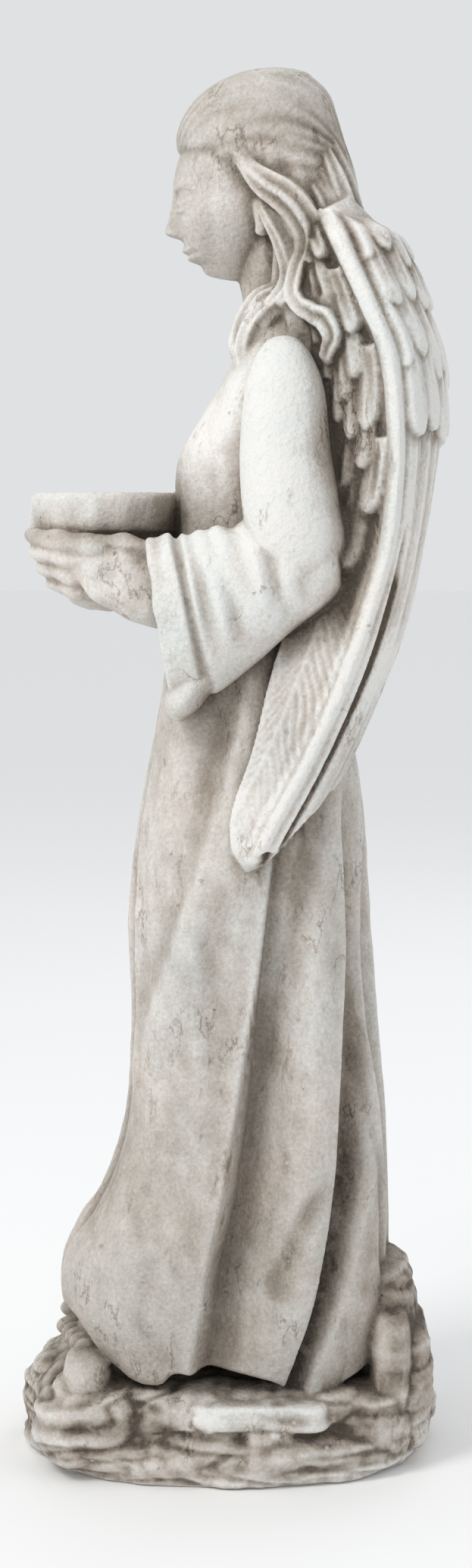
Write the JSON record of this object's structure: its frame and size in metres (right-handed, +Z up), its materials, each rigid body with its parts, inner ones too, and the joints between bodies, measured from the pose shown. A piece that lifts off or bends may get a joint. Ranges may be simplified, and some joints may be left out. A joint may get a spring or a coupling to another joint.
{
  "type": "angel bird bath statue",
  "caption": "Standing robed angel with folded wings on a rocky oval base, holding a small open bowl before the chest, cast in one piece as a garden bird bath",
  "frame": {"origin": "On the flat underside of the base, below the middle of the statue's box", "axes": "+Z up from base to head; the angel faces -Y and holds the bowl out that way; its left side, the one in the picture, is +X"},
  "size_m": [0.2152, 0.2584, 0.84],
  "materials": {
    "cast_stone": "matt whitewashed cast stone with brown grime in the hollows"
  },
  "bodies": {
    "root": {"angel_statue": "cast_stone"}
  },
  "joints": []
}
